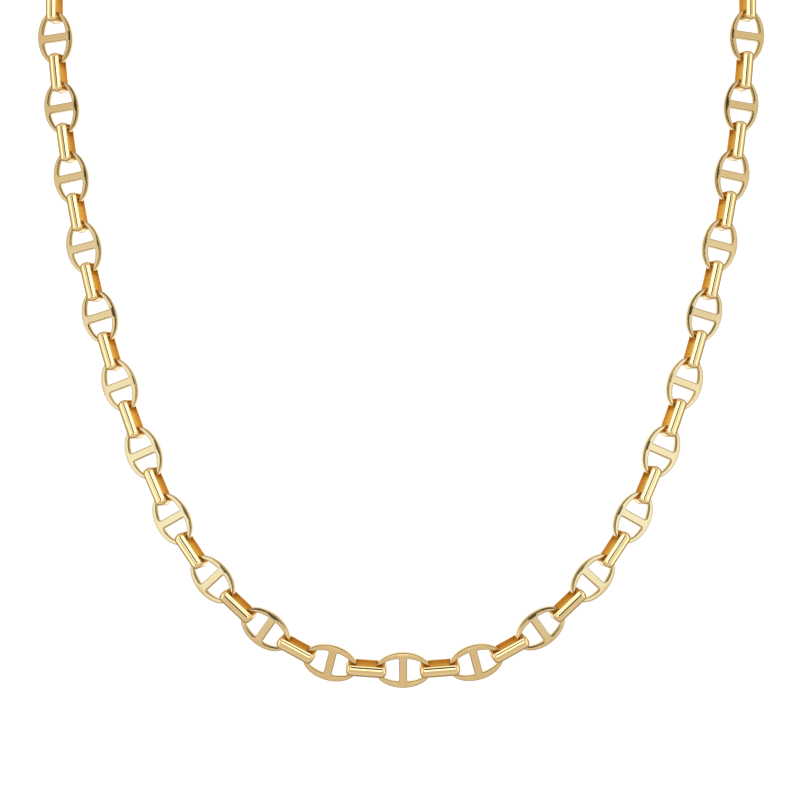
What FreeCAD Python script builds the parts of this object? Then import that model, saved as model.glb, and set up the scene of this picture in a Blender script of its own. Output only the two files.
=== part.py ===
import FreeCAD, Part
import Sketcher
import math
import os

# Mariner link necklace in its worn shape, in millimetres.
# +X is to the right as seen from the front, -Y is the front, +Z is up.
# The origin is on the neck's axis, level with the shoulders.

Vector = FreeCAD.Vector
Constraint = Sketcher.Constraint

# Two places this near to each other count as one when edges are picked.
CLOSE = 0.01
# Halvings in the search for the next place along the line.
HALVINGS = 50
# Flat strips that make the dome of a connector's band.
DOME_FACETS = 4

# Driving dimensions: alias, value, meaning
SIZES = [
    ("link_length", 9.0, "flat link along the chain"),
    ("link_width", 5.86, "flat link across the chain"),
    ("link_thickness", 1.1, "flat link, face to face"),
    ("window_length", 7.96, "windows and bar of a flat link, along the chain"),
    ("window_width", 4.0, "windows of a flat link, across the chain"),
    ("bar_width", 1.3, "centre bar of a flat link"),
    ("bar_corner", 0.3, "round where the bar meets the rim"),
    ("link_edge", 0.15, "round on the edges of a flat link"),
    ("end_inset", 2.64, "connector's end from a flat link's centre"),
    ("band_length", 6.62, "connector along the chain, outside"),
    ("band_depth", 3.4, "connector front to back, outside"),
    ("band_width", 1.88, "connector's band across the chain"),
    ("band_thickness", 0.46, "connector's band at the crown of its dome"),
    ("band_side", 0.14, "straight side wall of the connector's band"),
    ("band_edge", 0.13, "round on the inner edges of the connector's band"),
    ("band_corner", 0.35, "inner radius of the connector's four bends"),
    ("links_per_side", 18, "flat links on each side of the bottom one"),
    ("chest_lean", 9.0, "lean back of the front of the loop, degrees"),
    ("front_height", 110.0, "front of the loop, measured along its lean"),
    ("shoulder_bend", 60.0, "radius of the loop's bend over the shoulders"),
    ("neck_axis", 32.0, "neck's axis behind the bottom link"),
    ("link_roll", 14.0, "flat links turned outward, degrees"),
    ("band_roll", 21.0, "connectors turned outward, degrees"),
    ("roll_sway", 1.2, "unevenness of that turn, degrees"),
    ("sway_step", 70.0, "step of the unevenness from piece to piece, degrees"),
    ("clasp_thickness", 1.4, "clasp, face to face"),
    ("clasp_rim", 0.85, "metal past the clasp's holes at its ends"),
    ("clasp_hole", 2.4, "width of the clasp's holes"),
    ("claw_opening", 4.6, "length of the hole in the clasp's claw"),
    ("clasp_roll", 9.0, "clasp turned outward, degrees"),
    ("clasp_edge", 0.3, "round on the edges of the clasp"),
    ("nub_radius", 0.9, "thumb nub on the side of the clasp"),
    ("nub_thickness", 0.7, "thumb nub, face to face"),
]

# The chain's line from the bottom link up one side: name, length, turn in degrees.
# One more arc, over the nape, closes the loop.
SWEEPS = [
    ("bottom", 7.0, 4.3),
    ("lower_bend", 12.0, 27.5),
    ("side_sweep", 32.0, 34.5),
    ("upper_side", 37.5, 10.5),
    ("collar", 45.2, 9.3),
]


def make_sheet(doc):
    """One spreadsheet with the driving dimensions and the sweeps of the chain's line."""
    sheet = doc.addObject("Spreadsheet::Sheet", "Sizes")
    for alias, value, meaning in SIZES:
        add_row(sheet, alias, value, meaning)
    for name, length, turn in SWEEPS:
        add_row(sheet, name + "_length", length, name + " of the line, length")
        add_row(sheet, name + "_turn", turn, name + " of the line, turn in degrees")
    return sheet


def add_row(sheet, alias, value, meaning):
    """One more row of the sheet: what it means, its value and its alias."""
    row = len(sheet.getUsedCells()) // 2 + 1
    sheet.set(f"A{row}", meaning)
    sheet.set(f"B{row}", str(value))
    sheet.setAlias(f"B{row}", alias)
    sheet.Document.recompute()


def add_copy(doc, body, label, placement):
    """A copy of the body that follows it, in its own place."""
    copy = doc.addObject("App::Link", label)
    copy.LinkedObject = body
    copy.Label = label
    copy.Placement = placement
    return copy


def add_sketch(body, name, role):
    """An empty sketch on the base plane of the body that has this role."""
    sketch = body.newObject("Sketcher::SketchObject", name)
    planes = {feature.Role: feature for feature in body.Origin.OriginFeatures}
    sketch.AttachmentSupport = [(planes[role], "")]
    sketch.MapMode = "FlatFace"
    return sketch


def measure(sketch, name, expression, kind, *where):
    """A named constraint that follows the spreadsheet; its start value is a rough one."""
    sketch.addConstraint(Constraint(kind, *where, 1.0))
    sketch.renameConstraint(sketch.ConstraintCount - 1, name)
    sketch.setExpression(f"Constraints.{name}", expression)


def draw_ellipse(sketch, along, across):
    """A centred ellipse with its long axis along X."""
    sketch.addGeometry(Part.Ellipse(Vector(2, 0, 0), Vector(0, 1, 0), Vector(0, 0, 0)))
    sketch.exposeInternalGeometry(0)
    long_axis, short_axis = 1, 2
    sketch.addConstraint(Constraint("Coincident", 0, 3, -1, 1))
    sketch.addConstraint(Constraint("Horizontal", long_axis))
    measure(sketch, "along", along, "Distance", long_axis)
    measure(sketch, "across", across, "Distance", short_axis)


def draw_rectangle(sketch, along, across):
    """A centred rectangle."""
    corners = [Vector(-1, -1, 0), Vector(1, -1, 0), Vector(1, 1, 0), Vector(-1, 1, 0)]
    for side in range(4):
        sketch.addGeometry(Part.LineSegment(corners[side], corners[(side + 1) % 4]))
    for side in range(4):
        sketch.addConstraint(Constraint("Coincident", side, 2, (side + 1) % 4, 1))
    for side, direction in enumerate(["Horizontal", "Vertical", "Horizontal", "Vertical"]):
        sketch.addConstraint(Constraint(direction, side))
    sketch.addConstraint(Constraint("Symmetric", 0, 1, 2, 1, -1, 1))
    measure(sketch, "along", along, "Distance", 0)
    measure(sketch, "across", across, "Distance", 1)


def draw_circle(sketch, radius, middle, height="0"):
    """A circle, its middle this far along the sketch's X and Y."""
    sketch.addGeometry(Part.Circle(Vector(1, 1, 0), Vector(0, 0, 1), 1))
    measure(sketch, "radius", radius, "Radius", 0)
    measure(sketch, "middle", middle, "DistanceX", -1, 1, 0, 3)
    measure(sketch, "height", height, "DistanceY", -1, 1, 0, 3)


def draw_slot(sketch, straight, radius, middle="0"):
    """A slot with round ends along the sketch's X, its middle this far along X."""
    quarter = math.pi / 2
    sketch.addGeometry(Part.LineSegment(Vector(-1, 1, 0), Vector(1, 1, 0)))
    right = Part.Circle(Vector(1, 0, 0), Vector(0, 0, 1), 1)
    sketch.addGeometry(Part.ArcOfCircle(right, -quarter, quarter))
    sketch.addGeometry(Part.LineSegment(Vector(1, -1, 0), Vector(-1, -1, 0)))
    left = Part.Circle(Vector(-1, 0, 0), Vector(0, 0, 1), 1)
    sketch.addGeometry(Part.ArcOfCircle(left, quarter, 3 * quarter))
    sketch.addConstraint(Constraint("Tangent", 0, 2, 1, 2))
    sketch.addConstraint(Constraint("Tangent", 1, 1, 2, 1))
    sketch.addConstraint(Constraint("Tangent", 2, 2, 3, 2))
    sketch.addConstraint(Constraint("Tangent", 3, 1, 0, 1))
    sketch.addConstraint(Constraint("PointOnObject", 1, 3, -1))
    sketch.addConstraint(Constraint("PointOnObject", 3, 3, -1))
    sketch.addConstraint(Constraint("Equal", 1, 3))
    measure(sketch, "radius", radius, "Radius", 1)
    measure(sketch, "straight", straight, "DistanceX", 0, 1, 0, 2)
    measure(sketch, "middle", f"{middle} + ({straight}) / 2", "DistanceX", -1, 1, 1, 3)


def draw_round_rectangle(sketch, along, across, radius):
    """A centred rectangle with quarter circles at its corners; its sizes are the straights'."""
    quarter = math.pi / 2
    middles = [Vector(1, 1, 0), Vector(1, -1, 0), Vector(-1, -1, 0), Vector(-1, 1, 0)]
    for corner, middle in enumerate(middles):
        outward = Vector(math.sin(corner * quarter), math.cos(corner * quarter), 0)
        sketch.addGeometry(Part.LineSegment(middles[corner - 1] + outward, middle + outward))
        circle = Part.Circle(middle, Vector(0, 0, 1), 1)
        sketch.addGeometry(Part.ArcOfCircle(circle, -corner * quarter, (1 - corner) * quarter))
    count = sketch.GeometryCount
    top, first_arc, right_side = 0, 1, 2
    for line, direction in zip(range(0, count, 2), ["Horizontal", "Vertical"] * 2):
        arc, next_line = line + 1, (line + 2) % count
        sketch.addConstraint(Constraint("Tangent", line, 2, arc, 2))
        sketch.addConstraint(Constraint("Tangent", arc, 1, next_line, 1))
        sketch.addConstraint(Constraint(direction, line))
        if arc != first_arc:
            sketch.addConstraint(Constraint("Equal", first_arc, arc))
    opposite_arc = first_arc + count // 2
    sketch.addConstraint(Constraint("Symmetric", first_arc, 3, opposite_arc, 3, -1, 1))
    measure(sketch, "radius", radius, "Radius", first_arc)
    measure(sketch, "along", along, "DistanceX", top, 1, top, 2)
    measure(sketch, "across", across, "DistanceY", right_side, 2, right_side, 1)


def pad(body, name, sketch, thickness):
    """A plate of this thickness, half of it on each side of the sketch."""
    feature = body.newObject("PartDesign::Pad", name)
    feature.Profile = sketch
    feature.SideType = "Symmetric"
    feature.setExpression("Length", thickness)
    return feature


def cut_through(body, name, sketch):
    """A hole right through."""
    feature = body.newObject("PartDesign::Pocket", name)
    feature.Profile = sketch
    feature.Type = "ThroughAll"
    feature.SideType = "Symmetric"
    return feature


def round_edges(body, name, radius, keep):
    """Rounds the edges of the body's last feature for which keep(edge) is true."""
    body.Document.recompute()
    base = body.Tip
    names = [f"Edge{i}" for i, edge in enumerate(base.Shape.Edges, start=1) if keep(edge)]
    feature = body.newObject("PartDesign::Fillet", name)
    feature.Base = (base, names)
    feature.setExpression("Radius", radius)
    body.Document.recompute()
    return feature


def lies_flat(edge):
    """True for an edge in one plane of constant Z, as the rim of a plate's face is."""
    return edge.BoundBox.ZLength < CLOSE


def make_flat_link(doc, sheet):
    """An oval plate, pierced by an oval window with a bar across its middle."""
    body = doc.addObject("PartDesign::Body", "FlatLink")
    outline = add_sketch(body, "LinkOutline", "XY_Plane")
    draw_ellipse(outline, "Sizes.link_length", "Sizes.link_width")
    pad(body, "LinkPlate", outline, "Sizes.link_thickness")
    window = add_sketch(body, "WindowOutline", "XY_Plane")
    draw_ellipse(window, "Sizes.window_length", "Sizes.window_width")
    cut_through(body, "Window", window)
    bar = add_sketch(body, "BarOutline", "XY_Plane")
    draw_rectangle(bar, "Sizes.bar_width", "(Sizes.link_width + Sizes.window_width) / 2")
    pad(body, "Bar", bar, "Sizes.link_thickness")

    def is_bar_corner(edge):
        box = edge.BoundBox
        beside_bar = box.XMax < sheet.bar_width and box.XMin > -sheet.bar_width
        return beside_bar and not lies_flat(edge)

    round_edges(body, "BarCorners", "Sizes.bar_corner", is_bar_corner)
    round_edges(body, "LinkEdges", "Sizes.link_edge", lies_flat)
    return body


def make_connector(doc, sheet):
    """A domed band bent into a long closed loop with tight corners, dome outward."""
    body = doc.addObject("PartDesign::Body", "Connector")
    path = add_sketch(body, "BandPath", "XZ_Plane")
    inner_height = "Sizes.band_depth / 2 - Sizes.band_thickness"
    straight = "Sizes.band_length - 2 * (Sizes.band_thickness + Sizes.band_corner)"
    upright = f"2 * ({inner_height} - Sizes.band_corner)"
    draw_round_rectangle(path, straight, upright, "Sizes.band_corner")
    section = add_sketch(body, "BandSection", "YZ_Plane")
    foot, shoulder, crown = 1.0, 1.2, 1.5
    shares = [1 - 2 * step / DOME_FACETS for step in range(DOME_FACETS + 1)]
    dome = [Vector(share, crown - (crown - shoulder) * share**2, 0) for share in shares]
    corners = [Vector(-1, foot, 0), Vector(1, foot, 0), *dome]
    count = len(corners)
    inner, side, *facets, other_side = range(count)
    for line in range(count):
        section.addGeometry(Part.LineSegment(corners[line], corners[(line + 1) % count]))
    for line in range(count):
        section.addConstraint(Constraint("Coincident", line, 2, (line + 1) % count, 1))
    section.addConstraint(Constraint("Vertical", side))
    section.addConstraint(Constraint("Vertical", other_side))
    section.addConstraint(Constraint("Symmetric", inner, 1, inner, 2, -2))
    section.addConstraint(Constraint("Equal", side, other_side))
    dome_arc = section.addGeometry(Part.Circle(Vector(0, 0, 0), Vector(0, 0, 1), crown), True)
    section.addConstraint(Constraint("PointOnObject", dome_arc, 3, -2))
    for facet in facets:
        section.addConstraint(Constraint("PointOnObject", facet, 1, dome_arc))
    for facet in facets[1:]:
        section.addConstraint(Constraint("Equal", facets[0], facet))
    measure(section, "width", "Sizes.band_width", "DistanceX", inner, 1, inner, 2)
    measure(section, "side", "Sizes.band_side", "DistanceY", side, 1, side, 2)
    measure(section, "height", inner_height, "DistanceY", -1, 1, inner, 1)
    dome_rise = "(Sizes.band_thickness - Sizes.band_side)"
    dome_radius = f"((Sizes.band_width / 2) ^ 2 + {dome_rise} ^ 2) / (2 * {dome_rise})"
    measure(section, "dome", dome_radius, "Radius", dome_arc)
    band = body.newObject("PartDesign::AdditivePipe", "Band")
    band.Profile = section
    band.Spine = (path, [f"Edge{edge + 1}" for edge in range(path.GeometryCount)])

    inner_reach = sheet.band_length / 2 - sheet.band_thickness
    inner_rise = sheet.band_depth / 2 - sheet.band_thickness

    def is_inner_edge(edge):
        box = edge.BoundBox
        reach = max(box.XMax, -box.XMin)
        rise = max(box.ZMax, -box.ZMin)
        return box.YLength < CLOSE and reach < inner_reach + CLOSE and rise < inner_rise + CLOSE

    round_edges(body, "BandEdges", "Sizes.band_edge", is_inner_edge)
    return body


def make_clasp(doc, sheet):
    """A plain claw clasp, shut: a long hole in the claw, a round eye and a thumb nub."""
    body = doc.addObject("PartDesign::Body", "Clasp")
    body.Label = "clasp"
    hole_radius = "Sizes.clasp_hole / 2"
    hole_end = "(Sizes.clasp_span / 2 + Sizes.window_length / 2 - Sizes.end_inset)"
    outline = add_sketch(body, "ClaspOutline", "XY_Plane")
    draw_slot(outline, f"2 * {hole_end} - Sizes.clasp_hole", f"{hole_radius} + Sizes.clasp_rim")
    pad(body, "ClaspPlate", outline, "Sizes.clasp_thickness")
    nub = add_sketch(body, "NubOutline", "XY_Plane")
    draw_circle(nub, "Sizes.nub_radius", "-Sizes.nub_radius", f"{hole_radius} + Sizes.clasp_rim")
    pad(body, "ThumbNub", nub, "Sizes.nub_thickness")
    claw = add_sketch(body, "ClawOutline", "XY_Plane")
    claw_middle = f"{hole_end} - Sizes.claw_opening / 2"
    draw_slot(claw, "Sizes.claw_opening - Sizes.clasp_hole", hole_radius, claw_middle)
    cut_through(body, "ClawHole", claw)
    eye = add_sketch(body, "EyeOutline", "XY_Plane")
    draw_circle(eye, hole_radius, f"{hole_radius} - {hole_end}")
    cut_through(body, "Eye", eye)

    def is_plate_rim(edge):
        return lies_flat(edge) and abs(edge.BoundBox.ZMin) > sheet.clasp_thickness / 2 - CLOSE

    round_edges(body, "ClaspEdges", "Sizes.clasp_edge", is_plate_rim)
    return body


class Line:
    """The chain's line, one side of it, from the bottom link's centre to the nape."""

    def __init__(self, sheet):
        self.lean = math.radians(sheet.chest_lean)
        self.front_height = sheet.front_height
        self.bend = sheet.shoulder_bend
        self.origin = Vector(0, sheet.neck_axis, self.front_height * math.cos(self.lean))
        self.arcs = []
        for name, _, _ in SWEEPS:
            length = sheet.get(name + "_length")
            turn = math.radians(sheet.get(name + "_turn"))
            self.arcs.append((length, turn))
        across, _, heading = self.flat(sum(length for length, _ in self.arcs))
        nape_radius = across / math.sin(heading)
        nape_turn = math.pi - heading
        self.arcs.append((nape_radius * nape_turn, nape_turn))
        self.length = sum(length for length, _ in self.arcs)

    def flat(self, run):
        """Across, up and heading at this length along the line, with the loop laid flat."""
        across = up = heading = 0.0
        for length, turn in self.arcs:
            part = min(run, length)
            radius = length / turn
            next_heading = heading + part / radius
            across += radius * (math.sin(next_heading) - math.sin(heading))
            up += radius * (math.cos(heading) - math.cos(next_heading))
            heading = next_heading
            run -= part
            if run <= 0:
                break
        return across, up, heading

    def place(self, run):
        """The point of the worn loop at this length along the line."""
        across, up, _ = self.flat(run)
        rise = min(up, self.front_height)
        back = rise * math.sin(self.lean)
        height = rise * math.cos(self.lean)
        slope = self.slope(up)
        back += self.bend * (math.cos(self.lean) - math.cos(slope))
        height += self.bend * (math.sin(slope) - math.sin(self.lean))
        return Vector(across, back, height) - self.origin

    def slope(self, up):
        """Lean back of the loop at this height of the flat loop."""
        return self.lean + max(up - self.front_height, 0.0) / self.bend

    def facing(self, run):
        """Direction that the loop's outer side faces here."""
        slope = self.slope(self.flat(run)[1])
        return Vector(0, -math.cos(slope), math.sin(slope))

    def step(self, start, distance):
        """Length along the line at which it is this far, straight, from its point at start."""
        origin = self.place(start)
        low, high = start, start + 2 * distance
        for _ in range(HALVINGS):
            middle = (low + high) / 2
            if (self.place(middle) - origin).Length < distance:
                low = middle
            else:
                high = middle
        return low


def mirrored(vector):
    """The same on the other side of the necklace."""
    return Vector(-vector.x, vector.y, vector.z)


def seat(start, end, face):
    """Placement of a piece that runs from start to end and whose outer side faces this way."""
    along = (end - start).normalize()
    across = face.cross(along)
    return FreeCAD.Placement((start + end) / 2, FreeCAD.Rotation(along, across, face, "XZY"))


def rolled_face(line, run, along, roll):
    """The way a piece here faces: outward of the loop, rolled about the chain by this angle."""
    front = line.facing(run)
    front = (front - along * front.dot(along)).normalize()
    outward = along.cross(front)
    return front * math.cos(roll) + outward * math.sin(roll)


def walk_chain(sheet, line):
    """Seats of the flat links and of the connectors, each from the bottom up one side, and the
    point where the clasp starts."""
    flat_seats, band_seats = [], []
    kinds = [
        (band_seats, sheet.band_length, sheet.band_roll),
        (flat_seats, 2 * sheet.end_inset, sheet.link_roll),
    ]
    run = line.step(0, sheet.end_inset)
    for index in range(2 * int(sheet.links_per_side) + 1):
        seats, length, roll = kinds[index % 2]
        start = line.place(run)
        next_run = line.step(run, length)
        end = line.place(next_run)
        middle = (run + next_run) / 2
        lean = sheet.chest_lean * math.cos(line.flat(middle)[2])
        sway = sheet.roll_sway * math.sin(math.radians(sheet.sway_step) * (index + 1))
        along = (end - start).normalize()
        face = rolled_face(line, middle, along, math.radians(roll + lean + sway))
        seats.append((start, end, face))
        run = next_run
    return flat_seats, band_seats, end


def both_sides(seats, centre_piece=()):
    """Placements of one side's seats and of their mirror images, in order along the chain."""
    far_side = [(mirrored(start), mirrored(end), mirrored(face)) for start, end, face in seats]
    return [seat(*place) for place in [*reversed(far_side), *centre_piece, *seats]]


def check(objects):
    """Stops where an object failed or its shape is missing or not valid."""
    for thing in objects:
        if {"Invalid", "Error"} & set(thing.State):
            raise RuntimeError(f"{thing.Label} failed: {thing.State}")
    for thing in objects:
        if hasattr(thing, "Shape") and (thing.Shape.isNull() or not thing.Shape.isValid()):
            raise RuntimeError(f"{thing.Label} has no valid shape")


def main():
    doc = FreeCAD.newDocument("MarinerNecklace")
    sheet = make_sheet(doc)
    line = Line(sheet)
    flat_seats, band_seats, clasp_start = walk_chain(sheet, line)
    add_row(sheet, "clasp_span", 2 * clasp_start.x, "clasp between its two connectors")

    flat_link = make_flat_link(doc, sheet)
    connector = make_connector(doc, sheet)
    clasp = make_clasp(doc, sheet)
    nodes = [clasp]

    bottom_end = line.place(line.step(0, sheet.end_inset))
    bottom_face = rolled_face(
        line, 0, Vector(1, 0, 0), math.radians(sheet.link_roll + sheet.chest_lean)
    )
    bottom = (mirrored(bottom_end), bottom_end, bottom_face)
    for number, placement in enumerate(both_sides(flat_seats, [bottom]), start=1):
        nodes.append(add_copy(doc, flat_link, f"mariner_link_{number:02d}", placement))

    bands = [
        add_copy(doc, connector, f"Connector{number:02d}", placement)
        for number, placement in enumerate(both_sides(band_seats), start=1)
    ]
    connector_links = doc.addObject("Part::Compound", "connector_links")
    connector_links.Links = bands
    nodes.append(connector_links)

    nape_face = rolled_face(line, line.length, Vector(-1, 0, 0), math.radians(sheet.clasp_roll))
    clasp.Placement = seat(clasp_start, mirrored(clasp_start), nape_face)

    doc.recompute()
    check(doc.Objects)
    os.makedirs("parts", exist_ok=True)
    for node in nodes:
        node.Shape.exportStep(f"parts/{node.Label}.step")
        print(node.Label, len(node.Shape.Solids), round(node.Shape.Volume, 2))


main()
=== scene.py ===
import math

import bmesh
import bpy
import numpy as np
from mathutils import Matrix, Vector


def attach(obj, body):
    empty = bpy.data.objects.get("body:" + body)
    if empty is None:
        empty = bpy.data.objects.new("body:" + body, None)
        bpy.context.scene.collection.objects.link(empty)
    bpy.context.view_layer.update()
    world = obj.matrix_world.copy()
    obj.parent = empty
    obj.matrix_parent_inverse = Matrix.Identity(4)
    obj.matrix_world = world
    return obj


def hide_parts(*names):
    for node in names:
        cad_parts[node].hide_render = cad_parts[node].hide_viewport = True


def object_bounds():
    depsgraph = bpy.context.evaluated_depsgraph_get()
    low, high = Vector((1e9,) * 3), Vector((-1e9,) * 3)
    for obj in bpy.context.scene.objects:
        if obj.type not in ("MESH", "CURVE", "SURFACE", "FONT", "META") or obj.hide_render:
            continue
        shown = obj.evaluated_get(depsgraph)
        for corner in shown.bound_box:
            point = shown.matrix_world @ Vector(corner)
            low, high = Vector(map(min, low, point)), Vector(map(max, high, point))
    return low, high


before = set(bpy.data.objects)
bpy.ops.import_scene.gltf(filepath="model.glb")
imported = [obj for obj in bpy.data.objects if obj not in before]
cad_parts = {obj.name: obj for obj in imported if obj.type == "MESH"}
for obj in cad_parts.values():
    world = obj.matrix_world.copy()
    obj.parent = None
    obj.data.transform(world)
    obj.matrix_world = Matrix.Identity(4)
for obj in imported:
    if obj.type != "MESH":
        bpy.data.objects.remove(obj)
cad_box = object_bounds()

# Mariner link necklace in its worn shape, in metres, in the frame's own axes:
# +X to the right as seen from the front, -Y to the front, +Z up.

MM = 0.001

# Flat oval link
LINK_LENGTH = 9.0 * MM
LINK_WIDTH = 5.86 * MM
LINK_THICKNESS = 1.1 * MM
WINDOW_LENGTH = 7.96 * MM
WINDOW_WIDTH = 4.0 * MM
BAR_WIDTH = 1.3 * MM
BAR_CORNER = 0.22 * MM
LINK_EDGE = 0.13 * MM
OVAL_STEPS = 64

# Connector: a domed band bent into a long closed loop
BAND_LENGTH = 6.62 * MM
BAND_DEPTH = 3.4 * MM
BAND_WIDTH = 1.88 * MM
BAND_THICKNESS = 0.46 * MM
BAND_SIDE = 0.14 * MM
BAND_CORNER = 0.35 * MM
BAND_EDGE = 0.12 * MM
DOME_STEPS = 14
TURN_STEPS = 12

# Edges at least this sharp are rounded, in this many steps and with this bevel profile.
SHARP_ANGLE = math.radians(40)
EDGE_STEPS = 4
ROUND_PROFILE = 0.5
# Weight of the large faces in the shading of the narrow ones beside them
LARGE_FACE_WEIGHT = 100
# Two points this near to each other are one.
WELD = 0.002 * MM

LINK_COUNT = 37
BOTTOM_LINK = 19

# Camera, set from the bottom link's centre
CAMERA_DISTANCE = 700 * MM
CAMERA_RISE = 43.7 * MM
CAMERA_LEFT = 0.37 * MM
CAMERA_ROLL = math.radians(0.17)
VIEW_SPAN = 129.6 * MM

# Floor: how far it lies under the necklace, its size and the look of its paint
FLOOR_DROP = 90 * MM
FLOOR_SIZE = 60.0
FLOOR_GRAIN = 0.4
FLOOR_GRAIN_SHARE = 0.05
FLOOR_ROUGHNESS = 0.9

# Colours, linear
GOLD = (0.90, 0.72, 0.40, 1)
DEEP_GOLD = (0.88, 0.67, 0.33, 1)
# Painted shade: dark lines along the rounded edges of the flat links
EDGE_PAINTED_SHADE = (0.42, 0.29, 0.11, 1)
# Painted reflection: the deep orange of gold mirrored in gold, on the connectors' inner faces
INSIDE_PAINTED_REFLECTION = (0.86, 0.50, 0.09, 1)
FLOOR_WHITE = (0.9, 0.9, 0.9, 1)
BACKDROP_WHITE = (1, 1, 1, 1)
BACKDROP_STRENGTH = 1.2

# Gold plate of each slot: its least roughness and the height of its waves
GOLD_PLATES = {
    "link_gold": (0.07, 0.002 * MM),
    "connector_gold": (0.03, 0.001 * MM),
    "clasp_gold": (0.07, 0.002 * MM),
}
# Length of the patches of tone, haze, waves and polishing lines on it
TONE_PATCH = 9 * MM
HAZE_PATCH = 0.8 * MM
WAVE_PATCH = 1.6 * MM
POLISH_PATCH = 0.05 * MM
POLISH_HEIGHT = 0.0001 * MM
# Share of the painted edge shade on an edge without haze. Full haze brings it to 1.
EDGE_SHADE_SHARE = 0.6
# Roughness that full haze, an edge and an inside add
HAZE_ROUGHNESS = 0.05
EDGE_ROUGHNESS = 0.08
INSIDE_ROUGHNESS = 0.25

# What the metal mirrors: rings round a direction just above the front. Each has its
# angle from there in degrees, its brightness and its warmth.
STUDIO_FRONT = (0, -0.996, 0.087)
STUDIO = [
    (0, 0.04, 0.5),
    (8, 0.05, 0.5),
    (11, 2.2, 0.0),
    (23, 2.0, 0.0),
    (27, 0.90, 0.2),
    (30, 0.77, 0.4),
    (40, 0.74, 0.4),
    (52, 0.74, 0.65),
    (60, 0.85, 0.3),
    (88, 0.80, 0.3),
    (97, 0.55, 0.5),
    (103, 0.38, 0.8),
    (136, 0.38, 0.8),
    (142, 1.15, 0.0),
    (160, 1.10, 0.0),
    (168, 0.60, 1.0),
    (180, 0.60, 1.0),
]
STUDIO_PEAK = 2.2
# Share of green and blue that full warmth takes away
WARM_GREEN = 0.22
WARM_BLUE = 0.50
# A soft lamp on either side of the front: direction of the right one, the brightness that
# it adds at each angle from its middle, and its warmth. Below zero is cool.
LAMP_DIRECTION = (0.587, -0.808, -0.052)
LAMP = [(0, 0.30), (8, 0.28), (13, 0.15), (19, 0.0)]
LAMP_WARMTH = -3.0
# A dark post between the front and each lamp: middle and half size, across and upward
POST_ACROSS = (0.385, 0.1)
POST_HEIGHT = (0.09, 0.33)
POST_SHADE = 0.95
# A bright wall beyond each lamp: places across and the brightness that it adds there
WALLS = [(0.78, 0.0), (0.86, 0.8), (0.95, 0.8), (0.98, 0.1)]


class Field:
    """A socket of a node tree. Arithmetic on it adds Math nodes."""

    def __init__(self, nodes, socket):
        self.nodes = nodes
        self.socket = socket

    def __add__(self, other):
        return self.nodes.math("ADD", self, other)

    def __sub__(self, other):
        return self.nodes.math("SUBTRACT", self, other)

    def __rsub__(self, other):
        return self.nodes.math("SUBTRACT", other, self)

    def __mul__(self, other):
        return self.nodes.math("MULTIPLY", self, other)

    def __truediv__(self, other):
        return self.nodes.math("DIVIDE", self, other)

    __radd__ = __add__
    __rmul__ = __mul__


class Nodes:
    """The nodes of one material or of the world."""

    def __init__(self, tree):
        self.tree = tree
        tree.nodes.clear()

    def add(self, kind, settings=None, inputs=None, output=0):
        """A node of this type: its settings first, then its sockets' values and links."""
        node = self.tree.nodes.new(kind)
        for name, value in (settings or {}).items():
            if name == "stops":
                set_stops(node.color_ramp.elements, value)
            else:
                setattr(node, name, value)
        for name, value in (inputs or {}).items():
            if isinstance(value, Field):
                self.tree.links.new(value.socket, node.inputs[name])
            else:
                node.inputs[name].default_value = value
        return Field(self, node.outputs[output]) if node.outputs else None

    def math(self, operation, first, second=0.0):
        return self.add("ShaderNodeMath", {"operation": operation}, {0: first, 1: second})

    def vector_math(self, operation, first, second, output="Vector"):
        inputs = {0: first, 1: second}
        return self.add("ShaderNodeVectorMath", {"operation": operation}, inputs, output)

    def mix_colour(self, factor, first, second):
        inputs = {0: factor, 6: first, 7: second}
        return self.add("ShaderNodeMix", {"data_type": "RGBA"}, inputs, output=2)

    def noise(self, place, size, detail=2.0):
        """Noise from 0 to 1 whose patches are about this long."""
        inputs = {"Vector": place, "Scale": 1 / size, "Detail": detail}
        return self.add("ShaderNodeTexNoise", None, inputs)

    def within(self, place, middle, half_size):
        """1 where the place is less than half_size from the middle, 0 elsewhere."""
        return self.math("LESS_THAN", self.math("ABSOLUTE", place - middle), half_size)

    def angle_from(self, direction, middle):
        """Angle between the two directions, as a share of a half turn."""
        cosine = self.vector_math("DOT_PRODUCT", direction, middle, "Value")
        return self.math("ARCCOSINE", cosine) / math.pi


def set_stops(elements, stops):
    """A colour ramp's stops: place and colour."""
    while len(elements) < len(stops):
        elements.new(1.0)
    for element, (place, colour) in zip(elements, stops):
        element.position = place
        element.color = colour


def start_material(name):
    """A new material, its nodes, and the place on the object."""
    material = bpy.data.materials.new(name)
    material.use_nodes = True
    nodes = Nodes(material.node_tree)
    return material, nodes, nodes.add("ShaderNodeTexCoord", output="Object")


def end_material(nodes, inputs):
    """The material's shader with these inputs."""
    shader = nodes.add("ShaderNodeBsdfPrincipled", None, inputs)
    nodes.add("ShaderNodeOutputMaterial", None, {"Surface": shader})


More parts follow.
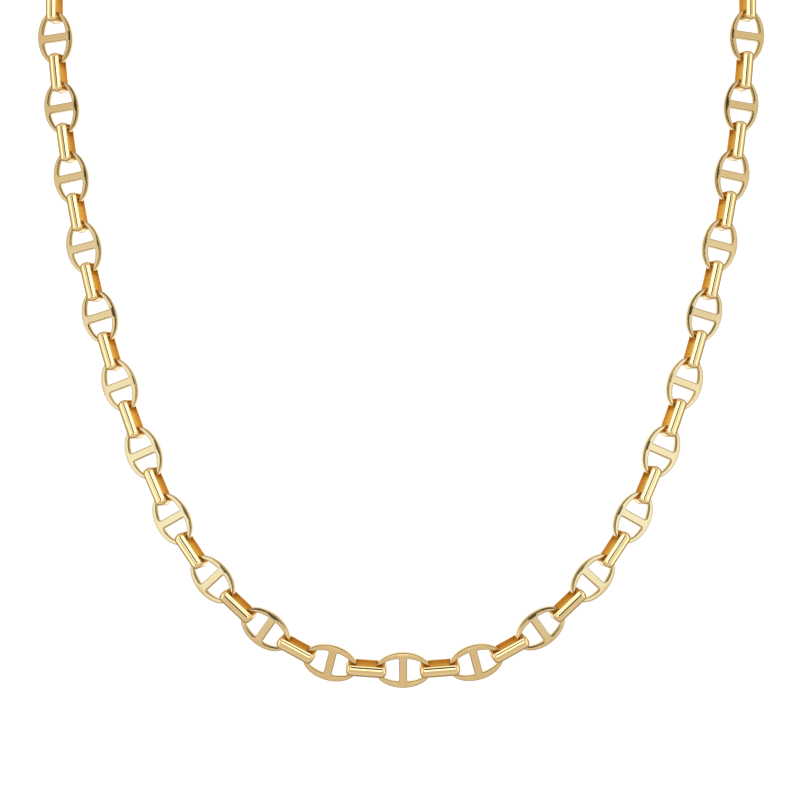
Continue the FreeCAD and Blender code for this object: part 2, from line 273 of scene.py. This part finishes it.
def gold_plate(name, least_roughness, wave_height):
    """Polished gold plate: tone drifts from link to link, edges get painted shade, insides a
    deeper painted reflection.
    """
    material, nodes, place = start_material(name)
    edge = nodes.add("ShaderNodeAttribute", {"attribute_name": "edge"}, output="Fac")
    inside = nodes.add("ShaderNodeAttribute", {"attribute_name": "inside"}, output="Fac")
    drift = nodes.noise(place, TONE_PATCH)
    haze = nodes.noise(place, HAZE_PATCH, detail=4.0)
    lines = nodes.noise(place, POLISH_PATCH)
    waves = nodes.noise(place, WAVE_PATCH, detail=1.0)
    tone = nodes.mix_colour(drift, DEEP_GOLD, GOLD)
    # Painted shade along the rounded edges, fuller where there is haze
    edge_shade_share = edge * (EDGE_SHADE_SHARE + (1 - EDGE_SHADE_SHARE) * haze)
    edge_shaded = nodes.mix_colour(edge_shade_share, tone, EDGE_PAINTED_SHADE)
    # Painted reflection of gold on gold on the connectors' inner faces
    colour = nodes.mix_colour(inside, edge_shaded, INSIDE_PAINTED_REFLECTION)
    roughness = least_roughness + HAZE_ROUGHNESS * haze
    roughness = roughness + EDGE_ROUGHNESS * edge + INSIDE_ROUGHNESS * inside
    height = waves * wave_height + lines * POLISH_HEIGHT
    bump = nodes.add("ShaderNodeBump", None, {"Strength": 1.0, "Distance": 1.0, "Height": height})
    inputs = {"Base Color": colour, "Metallic": 1.0, "Roughness": roughness, "Normal": bump}
    end_material(nodes, inputs)
    return material


def floor_paint():
    """Matt white of the floor."""
    material, nodes, place = start_material("floor_paint")
    grain = nodes.noise(place, FLOOR_GRAIN)
    colour = nodes.mix_colour(grain * FLOOR_GRAIN_SHARE, FLOOR_WHITE, BACKDROP_WHITE)
    end_material(nodes, {"Base Color": colour, "Roughness": FLOOR_ROUGHNESS})
    return material


# Seats: where the frame has each piece


def triangles_of(node):
    """Corners of a node's triangles: one row for each, three points of three numbers."""
    mesh = node.data
    mesh.calc_loop_triangles()
    places = np.empty(len(mesh.vertices) * 3)
    mesh.vertices.foreach_get("co", places)
    corners = np.empty(len(mesh.loop_triangles) * 3, dtype=np.int32)
    mesh.loop_triangles.foreach_get("vertices", corners)
    return places.reshape(-1, 3)[corners.reshape(-1, 3)]


def seat_of(triangles):
    """Matrix of a solid's centre and main axes, X along it and Z through its thin side.

    Centre and axes are summed over the tetrahedra that its triangles make with one point.
    The middle of each is a quarter of the sum of its corners, seen from that point.
    """
    start = triangles.mean(axis=(0, 1))
    corners = triangles - start
    volumes = np.linalg.det(corners)
    centre = (corners.sum(axis=1) * volumes[:, None]).sum(axis=0) / volumes.sum() / 4
    corners = corners - centre
    volumes = np.linalg.det(corners)
    sums = corners.sum(axis=1)
    spread = np.einsum("t,ti,tj->ij", volumes, sums, sums)
    spread += np.einsum("t,tki,tkj->ij", volumes, corners, corners)
    thin, _, long = [Vector(axis) for axis in np.linalg.eigh(spread)[1].T]
    turn = Matrix((long, thin.cross(long), thin)).transposed()
    return Matrix.Translation(Vector(start + centre)) @ turn.to_4x4()


def connector_seats(neighbours):
    """Places of the connectors, each between two neighbours of the closed chain."""
    triangles = triangles_of(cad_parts["connector_links"])
    following = neighbours[1:] + neighbours[:1]
    gaps = np.array([(here + there) / 2 for here, there in zip(neighbours, following)])
    middles = triangles.mean(axis=1)
    distances = np.linalg.norm(middles[:, None] - gaps[None], axis=2)
    nearest = distances.argmin(axis=1)
    return [seat_of(triangles[nearest == gap]) for gap in range(len(gaps))]


# Pieces


def only(kind, items):
    """The items of this type."""
    return [item for item in items if isinstance(item, kind)]


def oval(bm, length, width):
    """An oval of edges flat in XY."""
    verts = bmesh.ops.create_circle(bm, segments=OVAL_STEPS, radius=0.5)["verts"]
    bmesh.ops.scale(bm, verts=verts, vec=(length, width, 1))
    return verts


def rise_of(edge):
    """How much of the edge's length is along Z."""
    return abs(edge.verts[0].co.z - edge.verts[1].co.z)


def round_edges(bm, keep, width):
    """Rounds the sharp edges for which keep(edge) is true; returns the new faces."""
    sharp = [edge for edge in bm.edges if edge.calc_face_angle(0) > SHARP_ANGLE]
    return bmesh.ops.bevel(
        bm,
        geom=[edge for edge in sharp if keep(edge)],
        affect="EDGES",
        offset=width,
        segments=EDGE_STEPS,
        profile=ROUND_PROFILE,
        material=-1,
    )["faces"]


def mark(bm, name, faces):
    """Sets the layer of this name to 1 on these faces."""
    layer = bm.faces.layers.float[name]
    for face in faces:
        face[layer] = 1.0


def add_plate(bm):
    """An oval plate with an oval window that has a point at each corner of the bar."""
    oval(bm, LINK_LENGTH, LINK_WIDTH)
    window = oval(bm, WINDOW_LENGTH, WINDOW_WIDTH)
    half_bar = BAR_WIDTH / 2
    half_window = WINDOW_LENGTH / 2
    share = math.sqrt(1 - (half_bar / half_window) ** 2)
    for side in (-1, 1):
        for end in (-1, 1):
            corner = Vector((end * half_bar, side * WINDOW_WIDTH / 2, 0))
            nearest = min(window, key=lambda vert: (vert.co - corner).length)
            nearest.co.x = end * half_bar
            nearest.co.y = side * share * WINDOW_WIDTH / 2
    bmesh.ops.bridge_loops(bm, edges=bm.edges[:])
    plate = bmesh.ops.extrude_face_region(bm, geom=bm.faces[:])["geom"]
    raised = only(bmesh.types.BMVert, plate)
    bmesh.ops.translate(bm, verts=raised, vec=(0, 0, LINK_THICKNESS))
    bmesh.ops.translate(bm, verts=bm.verts[:], vec=(0, 0, -LINK_THICKNESS / 2))
    bmesh.ops.recalc_face_normals(bm, faces=bm.faces[:])


def add_bar(bm):
    """Opens the window's wall at both ends of the bar and joins the two openings."""
    middle_of_rim = (LINK_WIDTH + WINDOW_WIDTH) / 4

    def ends_bar(face):
        place = face.calc_center_median()
        wall = abs(place.z) < WELD and abs(place.y) < middle_of_rim
        return wall and abs(place.x) < BAR_WIDTH / 2

    walls = [face for face in bm.faces if ends_bar(face)]
    beside = [edge for edge in bm.edges if any(face in walls for face in edge.link_faces)]
    shared = [edge for edge in beside if all(face in walls for face in edge.link_faces)]
    openings = [edge for edge in beside if edge not in shared]
    bmesh.ops.delete(bm, geom=walls, context="FACES_ONLY")
    bmesh.ops.delete(bm, geom=shared, context="EDGES")
    bmesh.ops.bridge_loops(bm, edges=openings)
    bmesh.ops.recalc_face_normals(bm, faces=bm.faces[:])


def build_flat_link():
    """An oval plate with an oval window and a bar across its middle, edges rounded."""
    bm = bmesh.new()
    bm.faces.layers.float.new("edge")
    add_plate(bm)
    add_bar(bm)
    half_height = LINK_THICKNESS / 2

    def stands_by_bar(edge):
        return rise_of(edge) > half_height and abs(edge.verts[0].co.x) < BAR_WIDTH

    def on_face(edge):
        return all(abs(abs(vert.co.z) - half_height) < WELD for vert in edge.verts)

    round_edges(bm, stands_by_bar, BAR_CORNER)
    # The rounded edges are marked for painted shade and more roughness.
    mark(bm, "edge", round_edges(bm, on_face, LINK_EDGE))
    return bm


def add_band_section(bm, section_x):
    """The band's outline at this X, a dome over a flat side; returns its verts and edges."""
    inner = BAND_DEPTH / 2 - BAND_THICKNESS
    half_width = BAND_WIDTH / 2
    rise = BAND_THICKNESS - BAND_SIDE
    radius = (half_width ** 2 + rise ** 2) / (2 * rise)
    bmesh.ops.spin(
        bm,
        geom=[bm.verts.new((section_x, inner + BAND_SIDE, -half_width))],
        cent=(section_x, BAND_DEPTH / 2 - radius, 0),
        axis=(1, 0, 0),
        angle=2 * math.asin(half_width / radius),
        steps=DOME_STEPS,
    )
    feet = [vert for vert in bm.verts if abs(vert.co.y - inner - BAND_SIDE) < WELD]
    inner_verts = []
    for foot in feet:
        made = bmesh.ops.extrude_vert_indiv(bm, verts=[foot])["verts"]
        bmesh.ops.translate(bm, verts=made, vec=(0, -BAND_SIDE, 0))
        inner_verts += made
    bmesh.ops.contextual_create(bm, geom=inner_verts)
    return bm.verts[:] + bm.edges[:]


def build_connector():
    """A domed band bent into a long loop with tight corners. It lies in XY, its width along Z."""
    bm = bmesh.new()
    bm.faces.layers.float.new("inside")
    inner = BAND_DEPTH / 2 - BAND_THICKNESS
    inner_reach = BAND_LENGTH / 2 - BAND_THICKNESS
    along = BAND_LENGTH - 2 * (BAND_THICKNESS + BAND_CORNER)
    across = 2 * (inner - BAND_CORNER)
    bend = Vector((along / 2, across / 2, 0))
    section = add_band_section(bm, bend.x)
    # Each bend's side of the loop, and the straight limb that follows it
    limbs = [
        (Vector((1, 1, 0)), Vector((0, -across, 0))),
        (Vector((1, -1, 0)), Vector((-along, 0, 0))),
        (Vector((-1, -1, 0)), Vector((0, across, 0))),
        (Vector((-1, 1, 0)), Vector((along, 0, 0))),
    ]
    for side, straight in limbs:
        turned = bmesh.ops.spin(
            bm,
            geom=section,
            cent=side * bend,
            axis=(0, 0, 1),
            angle=-math.pi / 2,
            steps=TURN_STEPS,
        )["geom_last"]
        rims = only(bmesh.types.BMEdge, turned)
        limb = bmesh.ops.extrude_edge_only(bm, edges=rims)["geom"]
        far_verts = only(bmesh.types.BMVert, limb)
        bmesh.ops.translate(bm, verts=far_verts, vec=straight)
        far_ends = set(far_verts)
        section = far_verts + [edge for edge in bm.edges if set(edge.verts) <= far_ends]
    bmesh.ops.remove_doubles(bm, verts=bm.verts[:], dist=WELD)
    bmesh.ops.recalc_face_normals(bm, faces=bm.faces[:])

    def faces_inward(face):
        place = face.calc_center_median()
        return abs(place.x) < inner_reach + WELD and abs(place.y) < inner + WELD

    def runs_round(edge):
        return rise_of(edge) < WELD

    # The inner faces are marked for a painted orange reflection and more roughness.
    mark(bm, "inside", [face for face in bm.faces if faces_inward(face)])
    round_edges(bm, runs_round, BAND_EDGE / 2)
    return bm


def as_mesh(bm, name):
    """The finished mesh, all faces shaded smooth."""
    for face in bm.faces:
        face.smooth = True
    mesh = bpy.data.meshes.new(name)
    bm.to_mesh(mesh)
    bm.free()
    return mesh


def show(mesh, name, material, node):
    """An object for this mesh that stands for the CAD node."""
    mesh.materials.append(material)
    piece = bpy.data.objects.new(name, mesh)
    bpy.context.scene.collection.objects.link(piece)
    even = piece.modifiers.new("EvenFaces", "WEIGHTED_NORMAL")
    even.weight = LARGE_FACE_WEIGHT
    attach(piece, "root")
    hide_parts(node)


def place_flat_links(material):
    """A flat link in each seat; returns the seats in order along the chain."""
    pattern = as_mesh(build_flat_link(), "flat_link_pattern")
    seats = []
    for number in range(1, LINK_COUNT + 1):
        node = f"mariner_link_{number:02d}"
        seat = seat_of(triangles_of(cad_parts[node]))
        mesh = pattern.copy()
        mesh.transform(seat)
        show(mesh, f"flat_link_{number:02d}", material, node)
        seats.append(seat)
    return seats


def place_connectors(material, neighbours):
    """All connectors as one piece."""
    pattern = as_mesh(build_connector(), "connector_pattern")
    bm = bmesh.new()
    for seat in connector_seats(neighbours):
        before = len(bm.verts)
        bm.from_mesh(pattern)
        bm.verts.ensure_lookup_table()
        bmesh.ops.transform(bm, matrix=seat, verts=bm.verts[before:])
    mesh = as_mesh(bm, "connectors")
    show(mesh, "connectors", material, "connector_links")


def place_camera(bottom):
    """The photograph's view, from in front of the bottom link."""
    data = bpy.data.cameras.new("camera")
    data.angle = 2 * math.atan(VIEW_SPAN / 2 / CAMERA_DISTANCE)
    camera = bpy.data.objects.new("camera", data)
    bpy.context.scene.collection.objects.link(camera)
    camera.location = bottom + Vector((-CAMERA_LEFT, -CAMERA_DISTANCE, CAMERA_RISE))
    camera.rotation_euler = (math.pi / 2, CAMERA_ROLL, 0)
    bpy.context.scene.camera = camera


def place_floor(material):
    """A plain white floor well under the necklace, which the gold doesn't mirror."""
    bm = bmesh.new()
    bmesh.ops.create_grid(bm, x_segments=1, y_segments=1, size=FLOOR_SIZE / 2)
    lowest = cad_box[0][2]
    bmesh.ops.translate(bm, verts=bm.verts[:], vec=(0, 0, lowest - FLOOR_DROP))
    mesh = as_mesh(bm, "floor")
    mesh.materials.append(material)
    floor = bpy.data.objects.new("floor", mesh)
    bpy.context.scene.collection.objects.link(floor)
    floor.visible_glossy = False


def light_colour(brightness, warmth):
    """Colour of a light, as a share of the brightest."""
    share = brightness / STUDIO_PEAK
    return (share, share * (1 - WARM_GREEN * warmth), share * (1 - WARM_BLUE * warmth), 1)


def light_ramp(nodes, place, full, lights):
    """Light along a line. Each has its place out of full, its brightness and its warmth."""
    stops = [(at / full, light_colour(value, warmth)) for at, value, warmth in lights]
    return nodes.add("ShaderNodeValToRGB", {"stops": stops}, {"Fac": place})


def light_studio():
    """A white room. The metal mirrors rings of light and shade round the front."""
    world = bpy.data.worlds.new("studio")
    bpy.context.scene.world = world
    world.use_nodes = True
    nodes = Nodes(world.node_tree)
    direction = nodes.add("ShaderNodeTexCoord", output="Generated")
    across, depth, height = [
        nodes.add("ShaderNodeSeparateXYZ", None, {"Vector": direction}, output=axis)
        for axis in range(3)
    ]
    in_front = nodes.math("LESS_THAN", depth, 0.0)
    # Both sides get what the right side has.
    to_side = nodes.math("ABSOLUTE", across)
    folded = nodes.add("ShaderNodeCombineXYZ", None, {0: to_side, 1: depth, 2: height})

    rings = light_ramp(nodes, nodes.angle_from(direction, STUDIO_FRONT), 180, STUDIO)
    lamp_lights = [(degrees, value, LAMP_WARMTH) for degrees, value in LAMP]
    lamps = light_ramp(nodes, nodes.angle_from(folded, LAMP_DIRECTION), 180, lamp_lights)
    wall_lights = [(place, value, 0) for place, value in WALLS]
    walls = light_ramp(nodes, to_side * in_front, 1, wall_lights)
    lights = nodes.vector_math("ADD", nodes.vector_math("ADD", rings, lamps), walls)

    posts = nodes.within(to_side, *POST_ACROSS) * nodes.within(height, *POST_HEIGHT) * in_front
    strength = STUDIO_PEAK * (1 - POST_SHADE * posts)
    studio = nodes.add("ShaderNodeBackground", None, {"Color": lights, "Strength": strength})
    plain = {"Color": BACKDROP_WHITE, "Strength": BACKDROP_STRENGTH}
    white = nodes.add("ShaderNodeBackground", None, plain)
    mirrored = nodes.add("ShaderNodeLightPath", output="Is Glossy Ray")
    seen = nodes.add("ShaderNodeMixShader", None, {0: mirrored, 1: white, 2: studio})
    nodes.add("ShaderNodeOutputWorld", None, {"Surface": seen})


def main():
    bpy.context.scene.view_settings.view_transform = "Standard"
    gold = {name: gold_plate(name, *finish) for name, finish in GOLD_PLATES.items()}

    seats = place_flat_links(gold["link_gold"])
    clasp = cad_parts["clasp"]
    clasp.data.materials.clear()
    clasp.data.materials.append(gold["clasp_gold"])
    centres = [seat.translation for seat in seats]
    clasp_centre = seat_of(triangles_of(clasp)).translation
    place_connectors(gold["connector_gold"], centres + [clasp_centre])

    place_camera(centres[BOTTOM_LINK - 1])
    place_floor(floor_paint())
    light_studio()


main()
